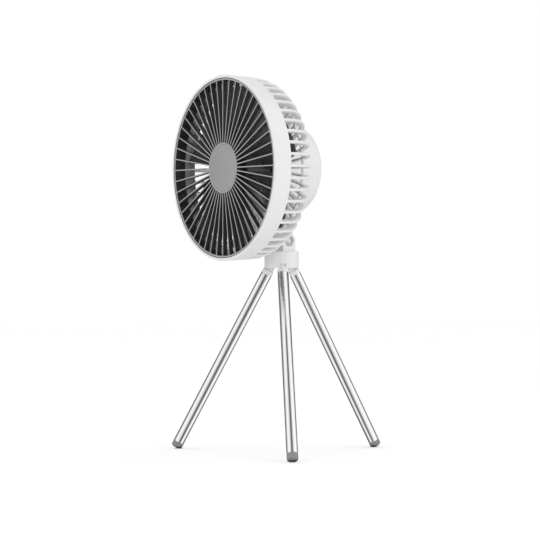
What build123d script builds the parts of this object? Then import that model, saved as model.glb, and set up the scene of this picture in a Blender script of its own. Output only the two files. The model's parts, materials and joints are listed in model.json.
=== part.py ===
"""Portable camping fan: a battery fan head that tilts on a folding three-legged table tripod.

Millimetres. +Z is up and the fan blows towards -Y. The origin lies on the table, under the
middle of the whole fan's footprint box. Depths in the head are counted back from the front
edge of its round band, and radii from the axis that the impeller turns on.
"""
import os
from math import cos, radians, sin, sqrt, tan

from build123d import *

os.makedirs("parts", exist_ok=True)

# ---------------------------------------------------------------- tripod sizes
leg_length = 219.5            # from the hinge pin to the end of the rubber foot
leg_splay = 30.0              # degrees between an open leg and the upright
tube_diameter = 11.3
tube_wall = 0.8
foot_length = 6.5             # rubber that shows below the tube
foot_edge_radius = 1.5
foot_flat_depth = 0.3         # rubber taken off by the flat that the foot stands on
plug_length = 11.0            # how far knuckle and foot reach into the tube
knuckle_collar = 4.0
tongue_thickness = 5.0
tongue_radius = 4.2
pin_diameter = 3.0
pin_length = 13.0
pin_circle_radius = 10.0      # from the tripod's middle to each leg pin
pin_above_hub_base = 5.7
hub_diameter = 34.6
hub_height = 17.1
hub_edge_radius = 1.2
slot_mouth_height = 4.5       # height of the leg slots in the hub's outer wall
retainer_thickness = 2.0
retainer_rim = 3.0            # wall of the hub left round the retainer
hub_screw_diameter = 4.0
hub_screw_head_diameter = 7.4
hub_screw_reach = 4.0         # thread that the screw has in the neck's spigot
screw_recess_width = 0.9      # cross recess in the screw's head
screw_recess_depth = 1.2

# ---------------------------------------------------------------- tilt joint sizes
tilt_height = 10.6            # tilt axis above the hub
tilt_setback = 1.4            # tilt axis behind the tripod's middle
ear_radius = 7.6
neck_width = 22.6
lug_width = 10.0
washer_thickness = 0.8
tilt_bolt_diameter = 6.0
tilt_nut_across_flats = 10.0
nut_recess_across_flats = 11.0
nut_recess_depth = 3.2
tilt_nut_thickness = 2.6
bolt_head_diameter = 10.6
bolt_head_height = 2.8
bolt_key_across_flats = 4.0   # hexagon socket in the bolt's head
bolt_key_depth = 1.4
bolt_end_inset = 0.4          # end of the bolt below the face of the right ear
bolt_end_chamfer = 0.5
washer_inset = 0.8            # edge of a friction washer inside the edge of the ear
spigot_diameter = 12.0
spigot_length = 5.0

# ---------------------------------------------------------------- head sizes
head_diameter = 185.0
band_drop = 20.5              # how far the band hangs below the tilt axis
face_setback = 72.0           # front edge of the band in front of the tripod's middle
rim_width = 2.2               # white band round the grille
band_draft = 2.8              # degrees by which the band narrows towards the back
rim_edge_radius = 0.6
back_depth = 54.2             # outside of the fins on the back
corner_radius = 22.0          # fins round the corner between band and back
fin_count = 48
fin_depth = 6.0
fin_outer_width = 3.8
fin_inner_width = 1.2
fin_root = 2.5                # how far a fin runs into the collar and into the dome wall
slot_depth = 19.5             # where the slots start on the outside
slot_slope = 3.0              # the slots start this much later on the inside
collar_depth = 12.4           # where the collar inside the band starts
collar_slope = 3.8            # the collar's front leans back by this much
hoop_radius = 68.5
hoop_width = 1.5
hoop_depth = 2.5
dome_diameter = 88.0
dome_wall = 2.2
dome_front_wall = 2.5
lug_foot_length = 24.0        # the lug that hangs under the dome widens up to this
cover_depth = 86.0            # where the rear cover meets the dome
cover_rise = 12.0             # how far the cover bulges behind the dome
cover_face_diameter = 40.0    # flat middle of the rear cover
cover_wall = 2.0
cover_spigot = 3.0

# ---------------------------------------------------------------- grille sizes
duct_wall = 0.9
duct_front = 0.4
grille_inset = 0.4            # front of the bars behind the band's front edge
grille_ring_width = 1.8
grille_depth = 5.2            # ring, bars and hub ring from front to back
bar_count = 48
bar_width = 1.4
bar_overlap = 0.8             # how far the bars run into the hub ring
hub_ring_diameter = 50.2
hub_ring_width = 1.8
cap_thickness = 1.5
cap_edge_radius = 0.3
hub_plate_thickness = 2.0     # plate behind the cap

# ---------------------------------------------------------------- impeller and motor sizes
blade_count = 6
blade_start_angle = 28.0      # how far the first blade stands from level
impeller_tip_gap = 1.5        # between the blades' tips and the duct ring
blade_thickness = 1.8         # in the middle of the chord, and half of it at the edges
blade_camber = 0.06           # rise of the blade's curve, as a share of its chord
blade_root_wrap = 58.0        # a section's length at the hub cup, as an angle of its circle
blade_root_front = 15.0       # depths of the trailing and the leading edge at the hub cup
blade_root_back = 38.0
blade_root_lead = 8.0         # degrees by which the root runs ahead of the tip
blade_tip_wrap = 48.0
blade_tip_front = 12.5
blade_tip_back = 31.0
hub_cup_diameter = 48.0
hub_cup_front = 13.0
hub_cup_wall = 2.0
cup_rim_gap = 1.0             # rim of the hub cup in front of the rim of the bell
impeller_boss_diameter = 10.0
impeller_nut_diameter = 8.0   # across its corners
impeller_nut_thickness = 3.0
shaft_diameter = 4.0
shaft_front = 8.6
bell_diameter = 39.0
bell_wall = 1.2
bell_boss_diameter = 8.0
bell_front = 24.0
bell_base_gap = 4.0           # rim of the bell in front of the motor base
magnet_thickness = 1.6
stator_diameter = 31.0
stator_front = 30.0
stator_rim_gap = 2.0          # stator and magnets in front of the rim of the bell
stator_teeth = 9
tooth_width = 2.2
tooth_shoe_thickness = 1.4
tooth_shoe_gap = 2.0
motor_base_thickness = 2.2
motor_base_diameter = 42.0
bearing_diameter = 9.0
bearing_width = 4.0
bearing_tube_wall = 1.5
bearing_shoulder = 1.0        # step in the tube that each bearing seats against
motor_screw_diameter = 2.5
motor_screw_head_diameter = 5.0
motor_screw_head_height = 1.2
motor_screw_circle = 34.0
motor_screw_count = 3

# ---------------------------------------------------------------- battery and control sizes
cell_diameter = 18.4
cell_length = 65.0
cell_pitch = 19.0
cradle_floor = 4.0
cradle_cup = 6.1              # how far the cradle's troughs rise round the cells
cradle_rim = 7.7              # cradle beyond the middle line of each cell
cradle_length = 55.8
board_inset = 2.0             # front face of the circuit board behind the cover's edge
board_diameter = 66.0
board_thickness = 1.6
post_diameter = 5.0
post_circle = 54.0
post_count = 3
post_start_angle = 30.0
button_diameter = 18.0
button_flange = 1.4
button_flange_thickness = 1.1
button_proud = 0.9
button_travel = 0.8
button_edge_chamfer = 0.45
button_stem_diameter = 4.0
switch_side = 6.0
switch_height = 2.4
indicator_diameter = 2.0
indicator_pitch = 4.2
indicator_count = 4
indicator_row = 14.0          # height of the indicator row above the fan axis
port_width = 9.0
port_height = 3.3
port_drop = 14.6              # charging socket below the fan axis
port_shell = 0.35
port_tongue = 1.2
port_tongue_width = 5.7
port_bottom = 2.0             # floor of the socket behind its opening

# ---------------------------------------------------------------- clearances
running_clearance = 0.05      # pins and shafts that turn in their holes, on the radius
seat_clearance = 0.1          # pieces that slip into each other and stay there, on the radius
moving_gap = 0.3              # faces of different moving bodies

# ---------------------------------------------------------------- places worked out from the sizes
tube_radius = tube_diameter / 2
foot_end_height = ((tube_radius - foot_edge_radius) * sin(radians(leg_splay))
                   + foot_edge_radius * (1 - cos(radians(leg_splay))) - foot_flat_depth)
pin_height = foot_end_height + leg_length * cos(radians(leg_splay))
foot_reach = (pin_circle_radius + leg_length * sin(radians(leg_splay)) + foot_edge_radius
              + (tube_radius - foot_edge_radius) * cos(radians(leg_splay))
              - foot_edge_radius * sin(radians(leg_splay)))
hub_base = pin_height - pin_above_hub_base
hub_top = hub_base + hub_height
tilt_z = hub_top + tilt_height
head_z = tilt_z + head_diameter / 2 - band_drop
hub_y = (face_setback - foot_reach) / 2
face_y = hub_y - face_setback
tilt_y = hub_y + tilt_setback
leg_angles = {"leg_right": -30.0, "leg_left": 210.0, "leg_rear": 90.0}

# An open leg rests with its collar against the lower edge of the hub.
collar_start = ((hub_diameter / 2 - pin_circle_radius) * sin(radians(leg_splay))
                + pin_above_hub_base * cos(radians(leg_splay)) + moving_gap)
collar_end = collar_start + knuckle_collar
tube_end = leg_length - foot_length

head_axis = Axis((0, face_y, head_z), (0, 1, 0))
profile_plane = Plane(origin=(0, face_y, head_z), x_dir=(0, 1, 0), z_dir=(1, 0, 0))


def head_plane(depth=0.0):
    """Plane across the head, that far behind its front edge, seen from behind."""
    return Plane(origin=(0, face_y + depth, head_z), x_dir=(-1, 0, 0), z_dir=(0, 1, 0))


def side_plane(offset=0.0):
    """Upright plane along the fan, x towards the back and y up, that far to the right."""
    return Plane(origin=(offset, 0, 0), x_dir=(0, 1, 0), z_dir=(1, 0, 0))


def band_radius(depth):
    """Outside radius of the band, which narrows towards the back."""
    return head_diameter / 2 - depth * tan(radians(band_draft))


def across_leg(angle, distance=0.0):
    """Plane across a leg, that far below its pin, with x pointing up and out."""
    outward = Vector(cos(radians(angle)), sin(radians(angle)), 0)
    down = outward * sin(radians(leg_splay)) - Vector(0, 0, cos(radians(leg_splay)))
    pin = Vector(0, hub_y, pin_height) + outward * pin_circle_radius
    x_dir = outward * cos(radians(leg_splay)) + Vector(0, 0, sin(radians(leg_splay)))
    return Plane(origin=pin + down * distance, x_dir=x_dir, z_dir=down)


def along_leg(angle):
    """Plane through a leg's middle, at its pin, with y pointing back up the leg."""
    base = across_leg(angle)
    return Plane(origin=base.origin, x_dir=base.x_dir, z_dir=base.x_dir.cross(-base.z_dir))


def upright_at_pin(angle):
    """Upright plane through a leg's pin, x pointing outwards and y up."""
    outward = Vector(cos(radians(angle)), sin(radians(angle)), 0)
    pin = Vector(0, hub_y, pin_height) + outward * pin_circle_radius
    return Plane(origin=pin, x_dir=outward, z_dir=outward.cross(Vector(0, 0, 1)))


def save(piece, name):
    """Label a finished sub-part and write it."""
    piece.part.label = name
    export_step(piece.part, f"parts/{name}.step")


# ================================================================ tripod
# Hub: a turned-looking moulding with three leg pockets open below, pin grooves beside them
# and a recess for the plate that keeps the pins up in their grooves.
hub_radius = hub_diameter / 2
retainer_radius = hub_radius - retainer_rim
slot_width = tongue_thickness + 2 * moving_gap
pocket_radius = tongue_radius + moving_gap
groove_width = pin_diameter + 2 * running_clearance

with BuildPart() as tripod_hub:
    with BuildSketch(Plane((0, hub_y, hub_base))):
        Circle(hub_radius)
    extrude(amount=hub_height)
    fillet(tripod_hub.edges().group_by(Axis.Z)[-1], hub_edge_radius)
    with BuildSketch(Plane((0, hub_y, hub_base))):
        Circle(retainer_radius)
    extrude(amount=retainer_thickness, mode=Mode.SUBTRACT)
    for angle in leg_angles.values():
        with BuildSketch(upright_at_pin(angle)):
            Circle(pocket_radius)
            with Locations((0, -pin_above_hub_base)):
                Rectangle(2 * pocket_radius, 2 * pin_above_hub_base)
            with Locations((0, -pin_above_hub_base)):
                Rectangle(hub_radius, 2 * slot_mouth_height, align=(Align.MIN, Align.CENTER))
            Rectangle(2 * pocket_radius, hub_diameter, rotation=leg_splay,
                      align=(Align.CENTER, Align.MAX))
        extrude(amount=slot_width / 2, both=True, mode=Mode.SUBTRACT)
        with BuildSketch(upright_at_pin(angle)):
            Circle(groove_width / 2)
            with Locations((0, -pin_above_hub_base / 2)):
                Rectangle(groove_width, pin_above_hub_base)
        extrude(amount=pin_length / 2 + seat_clearance, both=True, mode=Mode.SUBTRACT)
    with Locations(Location((0, hub_y, hub_base))):
        Cylinder(hub_screw_diameter / 2 + seat_clearance, hub_height,
                 align=(Align.CENTER, Align.CENTER, Align.MIN), mode=Mode.SUBTRACT)
    with Locations(Location((0, hub_y, hub_top))):
        Cylinder(spigot_diameter / 2 + seat_clearance, spigot_length,
                 align=(Align.CENTER, Align.CENTER, Align.MAX), mode=Mode.SUBTRACT)
save(tripod_hub, "tripod_hub")

# Pin retainer: a plate with three leg slots and a rib under each end of every pin.
rib_length = pin_length / 2 - slot_width / 2
rib_top = pin_above_hub_base - pin_diameter / 2
with BuildPart() as pin_retainer:
    with BuildSketch(Plane((0, hub_y, hub_base))):
        Circle(retainer_radius - seat_clearance)
    extrude(amount=retainer_thickness)
    for angle in leg_angles.values():
        with BuildSketch(upright_at_pin(angle).offset(slot_width / 2)):
            with Locations((0, -pin_above_hub_base)):
                Rectangle(groove_width - 2 * seat_clearance, rib_top, align=(Align.CENTER, Align.MIN))
        extrude(amount=rib_length)
        with BuildSketch(upright_at_pin(angle).offset(-slot_width / 2)):
            with Locations((0, -pin_above_hub_base)):
                Rectangle(groove_width - 2 * seat_clearance, rib_top, align=(Align.CENTER, Align.MIN))
        extrude(amount=-rib_length)
        with BuildSketch(upright_at_pin(angle)):
            with Locations((-pocket_radius, -pin_above_hub_base)):
                Rectangle(hub_radius, 2 * retainer_thickness, align=(Align.MIN, Align.CENTER))
        extrude(amount=slot_width / 2, both=True, mode=Mode.SUBTRACT)
    with Locations(Plane((0, hub_y, hub_base), z_dir=(0, 0, -1))):
        CounterSinkHole(hub_screw_diameter / 2 + seat_clearance,
                        hub_screw_head_diameter / 2 + seat_clearance)
save(pin_retainer, "pin_retainer")

# Hub screw: countersunk, from below through plate and hub into the neck's spigot.
screw_end = hub_top - spigot_length + hub_screw_reach
screw_head = (hub_screw_head_diameter - hub_screw_diameter) / 2
with BuildPart() as hub_screw:
    with BuildSketch(Plane((0, hub_y, 0), x_dir=(1, 0, 0), z_dir=(0, -1, 0))):
        with BuildLine():
            Polyline((0, hub_base), (hub_screw_head_diameter / 2, hub_base),
                     (hub_screw_diameter / 2, hub_base + screw_head),
                     (hub_screw_diameter / 2, screw_end), (0, screw_end), close=True)
        make_face()
    revolve(axis=Axis((0, hub_y, 0), (0, 0, 1)))
    with BuildSketch(Plane((0, hub_y, hub_base))):
        Rectangle(hub_screw_diameter, screw_recess_width)
        Rectangle(screw_recess_width, hub_screw_diameter)
    extrude(amount=screw_recess_depth, mode=Mode.SUBTRACT)
save(hub_screw, "hub_screw")

# Leg pins: three loose steel pins, each lying across its leg slot.
with BuildPart() as leg_pins:
    for angle in leg_angles.values():
        with BuildSketch(upright_at_pin(angle)):
            Circle(pin_diameter / 2)
        extrude(amount=pin_length / 2, both=True)
save(leg_pins, "leg_pins")

# Legs: moulded knuckle, polished tube and rubber foot.
plug_radius = tube_radius - tube_wall - seat_clearance
for leg, angle in leg_angles.items():
    with BuildPart() as knuckle:
        with BuildSketch(along_leg(angle)):
            Circle(tongue_radius)
            Rectangle(2 * tongue_radius, collar_start, align=(Align.CENTER, Align.MAX))
        extrude(amount=tongue_thickness / 2, both=True)
        with BuildSketch(across_leg(angle, collar_start)):
            Circle(tube_radius)
        extrude(amount=knuckle_collar)
        with BuildSketch(across_leg(angle, collar_end)):
            Circle(plug_radius)
        extrude(amount=plug_length)
        with BuildSketch(along_leg(angle)):
            Circle(pin_diameter / 2 + running_clearance)
        extrude(amount=tongue_thickness, both=True, mode=Mode.SUBTRACT)
    save(knuckle, f"{leg}_knuckle")

    with BuildPart() as tube:
        with BuildSketch(across_leg(angle, collar_end)):
            Circle(tube_radius)
            Circle(tube_radius - tube_wall, mode=Mode.SUBTRACT)
        extrude(amount=tube_end - collar_end)
    save(tube, f"{leg}_tube")

    with BuildPart() as foot:
        with BuildSketch(across_leg(angle, tube_end)):
            Circle(tube_radius)
        extrude(amount=foot_length)
        sole = across_leg(angle, leg_length)
        fillet(foot.faces().sort_by_distance(sole.origin)[0].edges(), foot_edge_radius)
        with BuildSketch(across_leg(angle, tube_end)):
            Circle(plug_radius)
        extrude(amount=-plug_length)
        split(bisect_by=Plane.XY, keep=Keep.TOP)
    save(foot, f"{leg}_foot")

# ================================================================ neck and tilt joint
# Neck fork: two round-topped ears on a block, with a spigot that seats in the hub.
neck_gap = lug_width + 2 * washer_thickness + 2 * moving_gap
fork_floor = tilt_z - ear_radius - moving_gap
with BuildPart() as neck_fork:
    with BuildSketch(side_plane()):
        with Locations((tilt_y, tilt_z)):
            Circle(ear_radius)
            Rectangle(2 * ear_radius, tilt_height, align=(Align.CENTER, Align.MAX))
    extrude(amount=neck_width / 2, both=True)
    with BuildSketch(side_plane()):
        with Locations((tilt_y, fork_floor)):
            Rectangle(4 * ear_radius, 4 * ear_radius, align=(Align.CENTER, Align.MIN))
    extrude(amount=neck_gap / 2, both=True, mode=Mode.SUBTRACT)
    with BuildSketch(Plane((0, hub_y, hub_top))):
        Circle(spigot_diameter / 2)
    extrude(amount=-spigot_length)
    with BuildSketch(Plane((0, hub_y, hub_top - spigot_length))):
        Circle(hub_screw_diameter / 2)
    extrude(amount=hub_screw_reach, mode=Mode.SUBTRACT)
    with BuildSketch(side_plane()):
        with Locations((tilt_y, tilt_z)):
            Circle(tilt_bolt_diameter / 2 + seat_clearance)
    extrude(amount=neck_width, both=True, mode=Mode.SUBTRACT)
    with BuildSketch(side_plane(neck_width / 2)):
        with Locations((tilt_y, tilt_z)):
            RegularPolygon(nut_recess_across_flats / 2, 6, major_radius=False)
    extrude(amount=-nut_recess_depth, mode=Mode.SUBTRACT)
    with BuildSketch(side_plane(-neck_width / 2)):
        with Locations((tilt_y, tilt_z)):
            Circle(bolt_head_diameter / 2 + seat_clearance)
    extrude(amount=nut_recess_depth, mode=Mode.SUBTRACT)
save(neck_fork, "neck_fork")

# Tilt bolt: round head in the left ear, thread end in the nut of the right ear.
nut_seat = neck_width / 2 - nut_recess_depth
with BuildPart() as tilt_bolt:
    with BuildSketch(side_plane(-nut_seat)):
        with Locations((tilt_y, tilt_z)):
            Circle(tilt_bolt_diameter / 2)
    extrude(amount=nut_seat + neck_width / 2 - bolt_end_inset)
    with BuildSketch(side_plane(-nut_seat)):
        with Locations((tilt_y, tilt_z)):
            Circle(bolt_head_diameter / 2)
    extrude(amount=-bolt_head_height)
    with BuildSketch(side_plane(-nut_seat - bolt_head_height)):
        with Locations((tilt_y, tilt_z)):
            RegularPolygon(bolt_key_across_flats / 2, 6, major_radius=False)
    extrude(amount=bolt_key_depth, mode=Mode.SUBTRACT)
    chamfer(tilt_bolt.faces().sort_by(Axis.X)[-1].edges(), bolt_end_chamfer)
save(tilt_bolt, "tilt_bolt")

# Tilt nut: its corners point forwards and backwards, as the recess holds them.
with BuildPart() as tilt_nut:
    with BuildSketch(side_plane(nut_seat)):
        with Locations((tilt_y, tilt_z)):
            RegularPolygon(tilt_nut_across_flats / 2, 6, major_radius=False)
            Circle(tilt_bolt_diameter / 2 + seat_clearance, mode=Mode.SUBTRACT)
    extrude(amount=tilt_nut_thickness)
save(tilt_nut, "tilt_nut")

# Friction washers: one each side of the head's lug, against the ears.
with BuildPart() as tilt_washers:
    for side in (-1, 1):
        with BuildSketch(side_plane(side * neck_gap / 2)):
            with Locations((tilt_y, tilt_z)):
                Circle(ear_radius - washer_inset)
                Circle(tilt_bolt_diameter / 2 + seat_clearance, mode=Mode.SUBTRACT)
        extrude(amount=-side * washer_thickness)
save(tilt_washers, "tilt_washers")

# ================================================================ rear housing
# One white moulding: the plain front band with a collar inside it, the fins that run from
# the collar round the corner to the dome, the hoop that ties them, and the dome.
slot_outer_radius = band_radius(slot_depth)
fin_inner_radius = slot_outer_radius - fin_depth
rim_inner_radius = head_diameter / 2 - rim_width
dome_radius = dome_diameter / 2
fin_back_inside = back_depth - fin_depth
head_depth = cover_depth + cover_rise

with BuildPart() as fin:      # drawn about the Z axis, which stands for the fan's axis
    with BuildLine(Plane.ZX) as fin_path:
        FilletPolyline((slot_depth - fin_root, band_radius(slot_depth - fin_root)),
                       (back_depth, band_radius(back_depth)),
                       (back_depth, dome_radius - dome_wall), radius=corner_radius)
    fin_start = Plane(origin=fin_path.line @ 0, x_dir=(0, 1, 0), z_dir=fin_path.line % 0)
    with BuildSketch(fin_start):
        with BuildLine():
            Polyline((-fin_outer_width / 2, 0), (fin_outer_width / 2, 0),
                     (fin_inner_width / 2, fin_depth), (-fin_inner_width / 2, fin_depth),
                     close=True)
        make_face()
    sweep(path=fin_path.line)

lug_radius = ear_radius - seat_clearance
lug_stem_top = tilt_z + ear_radius + moving_gap       # straight-sided up to here
lug_top = head_z - sqrt(dome_radius ** 2 - (lug_width / 2) ** 2) + dome_wall / 2
with BuildPart() as rear_housing:
    with BuildSketch(profile_plane):
        with BuildLine():
            Polyline((0, rim_inner_radius), (0, head_diameter / 2), (slot_depth, slot_outer_radius),
                     (slot_depth + slot_slope, fin_inner_radius),
                     (collar_depth + collar_slope, fin_inner_radius),
                     (collar_depth, rim_inner_radius), close=True)
        make_face()
    revolve(axis=head_axis)
    fillet(rear_housing.edges().group_by(Axis.Y)[0], rim_edge_radius)
    with BuildSketch(profile_plane):
        with Locations((fin_back_inside, 0)):
            Rectangle(cover_depth - fin_back_inside, dome_radius, align=Align.MIN)
        with Locations((fin_back_inside + dome_front_wall, 0)):
            Rectangle(head_depth, dome_radius - dome_wall, align=Align.MIN, mode=Mode.SUBTRACT)
        with Locations((fin_back_inside, hoop_radius)):
            Rectangle(hoop_depth, hoop_width, align=(Align.MIN, Align.CENTER))
    revolve(axis=head_axis)
    with BuildSketch(side_plane()):
        with Locations((tilt_y, tilt_z)):
            Circle(lug_radius)
            Rectangle(2 * lug_radius, lug_stem_top - tilt_z, align=(Align.CENTER, Align.MIN))
        with BuildLine():
            Polyline((tilt_y - lug_radius, lug_stem_top), (tilt_y + lug_radius, lug_stem_top),
                     (tilt_y + lug_foot_length / 2, lug_top),
                     (tilt_y - lug_foot_length / 2, lug_top), close=True)
        make_face()
    extrude(amount=lug_width / 2, both=True)
    with BuildSketch(side_plane()):
        with Locations((tilt_y, tilt_z)):
            Circle(tilt_bolt_diameter / 2 + running_clearance)
    extrude(amount=lug_width, both=True, mode=Mode.SUBTRACT)
    with Locations(head_plane()):
        with PolarLocations(0, fin_count):
            add(fin.part)
save(rear_housing, "rear_housing")

# Rear cover: rounded cap over the dome, with the holes for button, indicators and socket,
# and posts inside that carry the circuit board.
cover_face_radius = cover_face_diameter / 2
cover_round = dome_radius - cover_face_radius
board_front = cover_depth + board_inset
board_back = board_front + board_thickness
with BuildPart() as rear_cover:
    with BuildSketch(profile_plane):
        with BuildLine():
            EllipticalCenterArc((cover_depth, cover_face_radius), cover_rise, cover_round,
                                start_angle=0, arc_size=90)
            Polyline((cover_depth, dome_radius), (cover_depth, 0), (head_depth, 0),
                     (head_depth, cover_face_radius))
        make_face()
        with BuildLine():
            EllipticalCenterArc((cover_depth, cover_face_radius), cover_rise - cover_wall,
                                cover_round - cover_wall, start_angle=0, arc_size=90)
            Polyline((cover_depth, dome_radius - cover_wall), (cover_depth, 0),
                     (head_depth - cover_wall, 0), (head_depth - cover_wall, cover_face_radius))
        make_face(mode=Mode.SUBTRACT)
        with Locations((cover_depth - cover_spigot, dome_radius - dome_wall - seat_clearance)):
            Rectangle(cover_spigot + cover_wall, cover_wall, align=(Align.MIN, Align.MAX))
        with Locations((cover_depth, dome_radius - cover_wall / 2)):
            Rectangle(cover_wall, dome_wall + seat_clearance + cover_wall / 2,
                      align=(Align.MIN, Align.MAX))
    revolve(axis=head_axis)
    with BuildSketch(head_plane(board_back)):
        with PolarLocations(post_circle / 2, post_count, start_angle=post_start_angle):
            Circle(post_diameter / 2)
    extrude(amount=head_depth - cover_wall - board_back)
    with BuildSketch(head_plane(head_depth)):
        Circle(button_diameter / 2 + moving_gap)
        with Locations((0, indicator_row)):
            with GridLocations(indicator_pitch, 0, indicator_count, 1):
                Circle(indicator_diameter / 2 + seat_clearance)
        with Locations((0, -port_drop)):
            RectangleRounded(port_width + 2 * seat_clearance, port_height + 2 * seat_clearance,
                             port_height / 2)
    extrude(amount=-2 * cover_wall, mode=Mode.SUBTRACT)
save(rear_cover, "rear_cover")

# Speed button: a crowned cap with a flange behind the cover and a stem over the switch.
button_front = head_depth + button_proud
flange_back = head_depth - cover_wall - moving_gap
flange_front = flange_back - button_flange_thickness
switch_top = board_back + switch_height
stem_end = switch_top + button_travel + moving_gap
with BuildPart() as speed_button:
    with BuildSketch(head_plane(flange_front)):
        Circle(button_diameter / 2 + button_flange)
    extrude(amount=button_flange_thickness)
    with BuildSketch(head_plane(flange_front)):
        Circle(button_diameter / 2)
    extrude(amount=button_front - flange_front)
    chamfer(speed_button.edges().group_by(Axis.Y)[-1], button_edge_chamfer)
    with BuildSketch(head_plane(flange_front)):
        Circle(button_stem_diameter / 2)
    extrude(amount=stem_end - flange_front)
save(speed_button, "speed_button")

# Circuit board with the switch under the button.
with BuildPart() as circuit_board:
    with BuildSketch(head_plane(board_front)):
        Circle(board_diameter / 2)
    extrude(amount=board_thickness)
    with BuildSketch(head_plane(board_back)):
        Rectangle(switch_side, switch_side)
    extrude(amount=switch_height)
save(circuit_board, "circuit_board")

# Charge indicators: four light pipes from the board to the cover's face.
with BuildPart() as indicator_pipes:
    with BuildSketch(head_plane(board_back)):
        with Locations((0, indicator_row)):
            with GridLocations(indicator_pitch, 0, indicator_count, 1):
                Circle(indicator_diameter / 2)
    extrude(amount=head_depth - board_back)
save(indicator_pipes, "indicator_pipes")

# Charging socket: a folded metal shell round a tongue, standing on the board.
with BuildPart() as charging_socket:
    with BuildSketch(head_plane(board_back)):
        with Locations((0, -port_drop)):
            RectangleRounded(port_width, port_height, port_height / 2 - seat_clearance)
    extrude(amount=head_depth - board_back - port_shell)
    with BuildSketch(head_plane(board_back + port_bottom)):
        with Locations((0, -port_drop)):
            RectangleRounded(port_width - 2 * port_shell, port_height - 2 * port_shell,
                             port_height / 2 - port_shell - seat_clearance)
            Rectangle(port_tongue_width, port_tongue, mode=Mode.SUBTRACT)
    extrude(amount=head_depth, mode=Mode.SUBTRACT)
save(charging_socket, "charging_socket")

# Battery: two round cells side by side in a moulded cradle on the dome's front wall.
cradle_front = fin_back_inside + dome_front_wall
cell_depth = cradle_front + cradle_floor + cell_diameter / 2
with BuildPart() as battery_cradle:
    with BuildSketch(side_plane()):
        with Locations((face_y + cradle_front, head_z)):
            Rectangle(cradle_floor + cradle_cup, cell_pitch + 2 * cradle_rim,
                      align=(Align.MIN, Align.CENTER))
        with Locations((face_y + cell_depth, head_z)):
            with GridLocations(0, cell_pitch, 1, 2):
                Circle(cell_diameter / 2 + seat_clearance, mode=Mode.SUBTRACT)
    extrude(amount=cradle_length / 2, both=True)
save(battery_cradle, "battery_cradle")

with BuildPart() as battery_cells:
    with BuildSketch(side_plane()):
        with Locations((face_y + cell_depth, head_z)):
            with GridLocations(0, cell_pitch, 1, 2):
                Circle(cell_diameter / 2)
    extrude(amount=cell_length / 2, both=True)
save(battery_cells, "battery_cells")

# ================================================================ grille
# Duct ring: a dark liner of band and collar that the impeller turns in. Its front seats the
# grille on a ledge, and its back edge ends where the slots start.
duct_outer_radius = rim_inner_radius - seat_clearance
duct_inner_radius = duct_outer_radius - duct_wall
grille_radius = duct_inner_radius - seat_clearance
ledge_radius = grille_radius - grille_ring_width
ledge_depth = grille_inset + grille_depth
throat_depth = collar_depth + collar_slope
throat_back = slot_depth + slot_slope
throat_outer_radius = band_radius(throat_back) - fin_depth - seat_clearance
throat_radius = throat_outer_radius - duct_wall
with BuildPart() as duct_ring:
    with BuildSketch(profile_plane):
        with BuildLine():
            Polyline((duct_front, duct_inner_radius), (duct_front, duct_outer_radius),
                     (collar_depth - seat_clearance, duct_outer_radius),
                     (throat_depth - seat_clearance, throat_outer_radius),
                     (throat_back, throat_outer_radius), (throat_back, throat_radius),
                     (throat_depth, throat_radius), (collar_depth, ledge_radius),
                     (ledge_depth, ledge_radius), (ledge_depth, duct_inner_radius), close=True)
        make_face()
    revolve(axis=head_axis)
save(duct_ring, "duct_ring")

# Front grille: straight deep bars between an outer ring and a hub ring, with a plate across
# the hub ring that carries the cap in front.
hub_ring_radius = hub_ring_diameter / 2
cap_seat_radius = hub_ring_radius - hub_ring_width
cap_back = grille_inset + cap_thickness
bar_start = hub_ring_radius - bar_overlap
bar_length = grille_radius - grille_ring_width / 2 - bar_start
with BuildPart() as front_grille:
    with BuildSketch(head_plane(grille_inset)):
        Circle(grille_radius)
        Circle(grille_radius - grille_ring_width, mode=Mode.SUBTRACT)
        Circle(hub_ring_radius)
        Circle(cap_seat_radius, mode=Mode.SUBTRACT)
        with PolarLocations(bar_start + bar_length / 2, bar_count):
            Rectangle(bar_length, bar_width)
    extrude(amount=grille_depth)
    with BuildSketch(head_plane(cap_back)):
        Circle(hub_ring_radius - bar_overlap)
    extrude(amount=hub_plate_thickness)
save(front_grille, "front_grille")

# Grille cap: a plain disc that fills the hub ring.
with BuildPart() as grille_cap:
    with BuildSketch(head_plane(grille_inset)):
        Circle(cap_seat_radius - seat_clearance)
    extrude(amount=cap_thickness)
    fillet(grille_cap.edges().group_by(Axis.Y)[0], cap_edge_radius)
save(grille_cap, "grille_cap")

# ================================================================ motor
# Motor base: a round plate on the dome's front wall with the tube that holds the bearings.
base_front = fin_back_inside - motor_base_thickness
bell_back = base_front - bell_base_gap
stator_back = bell_back - stator_rim_gap
tube_front = stator_front - bearing_width / 2
bearing_seat = bearing_diameter / 2 + seat_clearance
shoulder_radius = bearing_seat - bearing_shoulder
with BuildPart() as motor_base:
    with BuildSketch(profile_plane):
        with Locations((base_front, 0)):
            Rectangle(motor_base_thickness, motor_base_diameter / 2, align=Align.MIN)
        with Locations((tube_front, 0)):
            Rectangle(fin_back_inside - tube_front, bearing_seat + bearing_tube_wall,
                      align=Align.MIN)
        with Locations((tube_front, 0)):
            Rectangle(bearing_width, bearing_seat, align=Align.MIN, mode=Mode.SUBTRACT)
        with Locations((fin_back_inside - bearing_width, 0)):
            Rectangle(bearing_width, bearing_seat, align=Align.MIN, mode=Mode.SUBTRACT)
        with Locations((tube_front, 0)):
            Rectangle(fin_back_inside - tube_front, shoulder_radius, align=Align.MIN,
                      mode=Mode.SUBTRACT)
    revolve(axis=head_axis)
    with BuildSketch(head_plane(base_front)):
        with PolarLocations(motor_screw_circle / 2, motor_screw_count, start_angle=90):
            Circle(motor_screw_diameter / 2 + seat_clearance)
    extrude(amount=motor_base_thickness, mode=Mode.SUBTRACT)
save(motor_base, "motor_base")

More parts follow.
